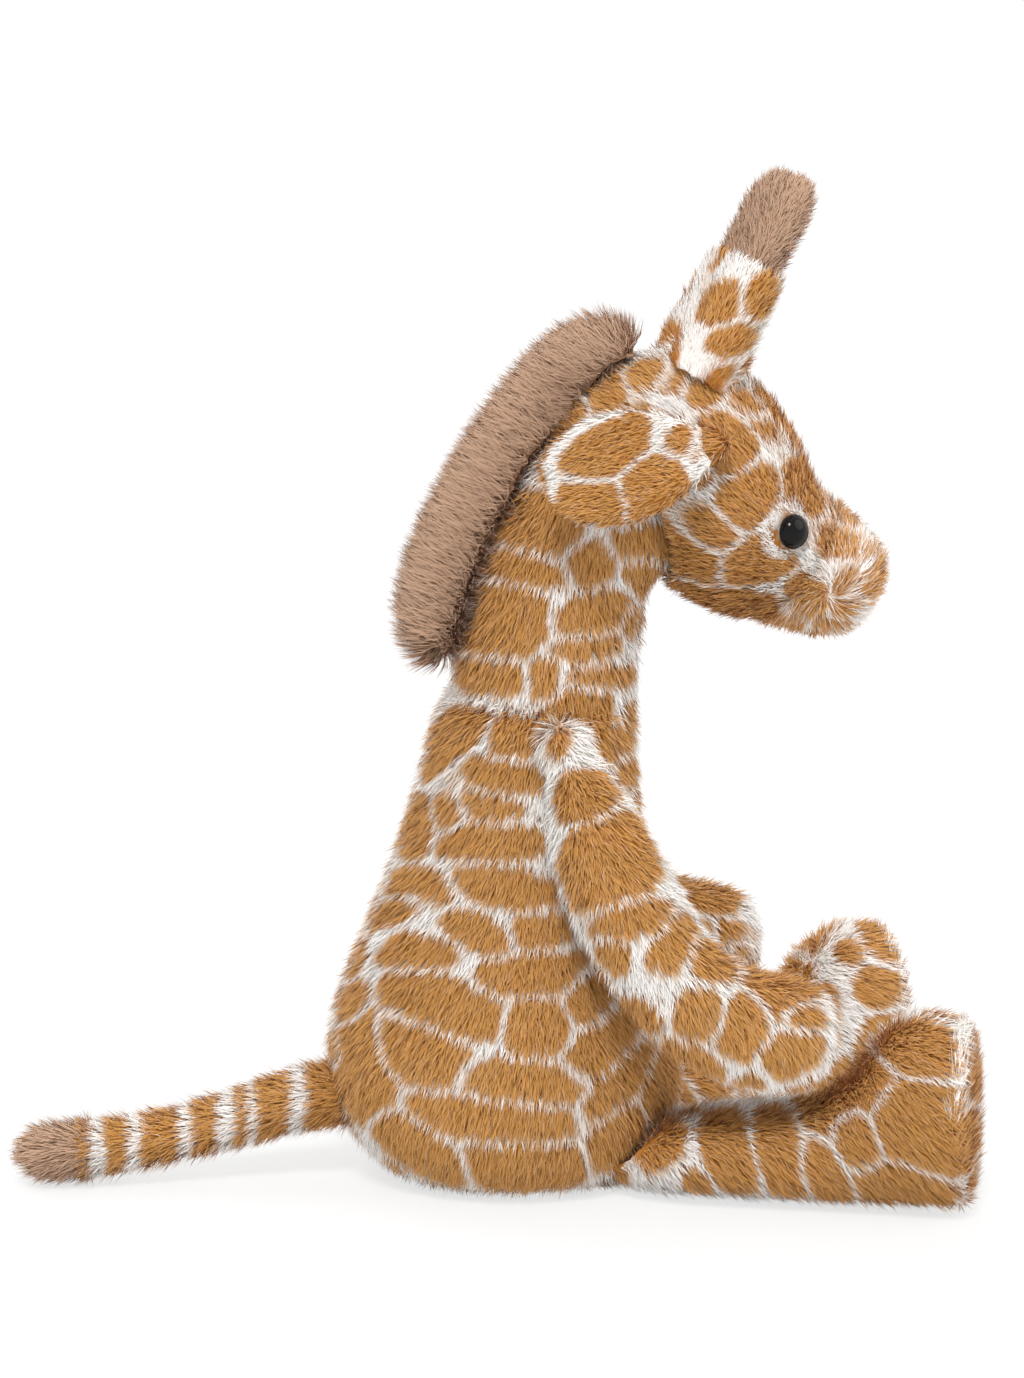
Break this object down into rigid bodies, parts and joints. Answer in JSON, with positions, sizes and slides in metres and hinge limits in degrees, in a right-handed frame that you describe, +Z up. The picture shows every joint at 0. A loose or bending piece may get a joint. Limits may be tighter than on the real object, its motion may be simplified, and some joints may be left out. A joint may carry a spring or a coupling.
{
  "type": "plush giraffe",
  "caption": "Seated plush giraffe in spotted pile fabric, with a turning neck and nodding head, lifting arms, dropping legs, opening ears, bending horns and a wagging tail.",
  "frame": {"origin": "on the floor, in the flat seat under the torso", "axes": "+X the way the giraffe faces, +Y its left, +Z up"},
  "size_m": [0.3276, 0.1882, 0.3468],
  "materials": {
    "spotted_plush": "short pile plush, golden brown patches between cream lines",
    "taupe_plush": "longer taupe brown pile plush",
    "stuffing": "white polyester fibre",
    "eye_plastic": "polished",
    "washer_plastic": "matt"
  },
  "bodies": {
    "torso": {"torso_back_cover": "spotted_plush", "torso_front_cover": "spotted_plush", "torso_stuffing": "stuffing"},
    "neck": {"neck_cover": "spotted_plush", "neck_stuffing": "stuffing", "mane": "taupe_plush"},
    "head": {"head_cover": "spotted_plush", "muzzle_cover": "spotted_plush", "head_stuffing": "stuffing", "eye_left": "eye_plastic", "eye_right": "eye_plastic", "eye_washer_left": "washer_plastic", "eye_washer_right": "washer_plastic"},
    "tail": {"tail_cover": "spotted_plush", "tail_tip": "taupe_plush", "tail_stuffing": "stuffing"},
    "ear_left": {"ear_back_left": "spotted_plush", "ear_lining_left": "spotted_plush"},
    "horn_left": {"horn_cover_left": "spotted_plush", "horn_tip_left": "taupe_plush", "horn_stuffing_left": "stuffing"},
    "arm_left": {"arm_cover_left": "spotted_plush", "arm_stuffing_left": "stuffing"},
    "leg_left": {"leg_cover_left": "spotted_plush", "leg_stuffing_left": "stuffing", "sole_left": "spotted_plush"},
    "ear_right": {"ear_back_right": "spotted_plush", "ear_lining_right": "spotted_plush"},
    "horn_right": {"horn_cover_right": "spotted_plush", "horn_tip_right": "taupe_plush", "horn_stuffing_right": "stuffing"},
    "arm_right": {"arm_cover_right": "spotted_plush", "arm_stuffing_right": "stuffing"},
    "leg_right": {"leg_cover_right": "spotted_plush", "leg_stuffing_right": "stuffing", "sole_right": "spotted_plush"}
  },
  "joints": [
    {"name": "neck_turn", "type": "hinge", "parent": "torso", "child": "neck", "pos_m": [0.0145, 0, 0.171], "axis": [0.0872, 0, 0.9962], "range_deg": [-30, 30], "stiffness_Nm_per_rad": 0.6},
    {"name": "head_nod", "type": "hinge", "parent": "neck", "child": "head", "pos_m": [0.035, 0, 0.233], "axis": [0, -1, 0], "range_deg": [-10, 20], "stiffness_Nm_per_rad": 2, "deforming": ["mane"]},
    {"name": "tail_wag", "type": "hinge", "parent": "torso", "child": "tail", "pos_m": [-0.0658, 0, 0.029], "axis": [0, 0, 1], "range_deg": [-35, 35], "stiffness_Nm_per_rad": 0.05},
    {"name": "ear_left_open", "type": "hinge", "parent": "head", "child": "ear_left", "pos_m": [0.066, 0.04255, 0.26], "axis": [0.2079, 0, -0.9781], "range_deg": [0, 50], "stiffness_Nm_per_rad": 0.03},
    {"name": "horn_left_bend", "type": "hinge", "parent": "head", "child": "horn_left", "pos_m": [0.072, 0.0155, 0.29058], "axis": [0, 1, 0], "range_deg": [-14, 14], "stiffness_Nm_per_rad": 0.12},
    {"name": "arm_left_lift", "type": "hinge", "parent": "torso", "child": "arm_left", "pos_m": [0.017, 0.043, 0.163], "axis": [1, 0, 0], "range_deg": [0, 85], "stiffness_Nm_per_rad": 0.05},
    {"name": "leg_left_drop", "type": "hinge", "parent": "torso", "child": "leg_left", "pos_m": [0.02848, 0.02835, 0.001], "axis": [-0.342, 0.9397, 0], "range_deg": [0, 60], "stiffness_Nm_per_rad": 0.05},
    {"name": "ear_right_open", "type": "hinge", "parent": "head", "child": "ear_right", "pos_m": [0.066, -0.04255, 0.26], "axis": [-0.2079, 0, 0.9781], "range_deg": [0, 50], "stiffness_Nm_per_rad": 0.03},
    {"name": "horn_right_bend", "type": "hinge", "parent": "head", "child": "horn_right", "pos_m": [0.072, -0.0155, 0.29058], "axis": [0, 1, 0], "range_deg": [-14, 14], "stiffness_Nm_per_rad": 0.12},
    {"name": "arm_right_lift", "type": "hinge", "parent": "torso", "child": "arm_right", "pos_m": [0.017, -0.043, 0.163], "axis": [-1, 0, 0], "range_deg": [0, 85], "stiffness_Nm_per_rad": 0.05},
    {"name": "leg_right_drop", "type": "hinge", "parent": "torso", "child": "leg_right", "pos_m": [0.02848, -0.02835, 0.001], "axis": [0.342, 0.9397, 0], "range_deg": [0, 60], "stiffness_Nm_per_rad": 0.05}
  ]
}
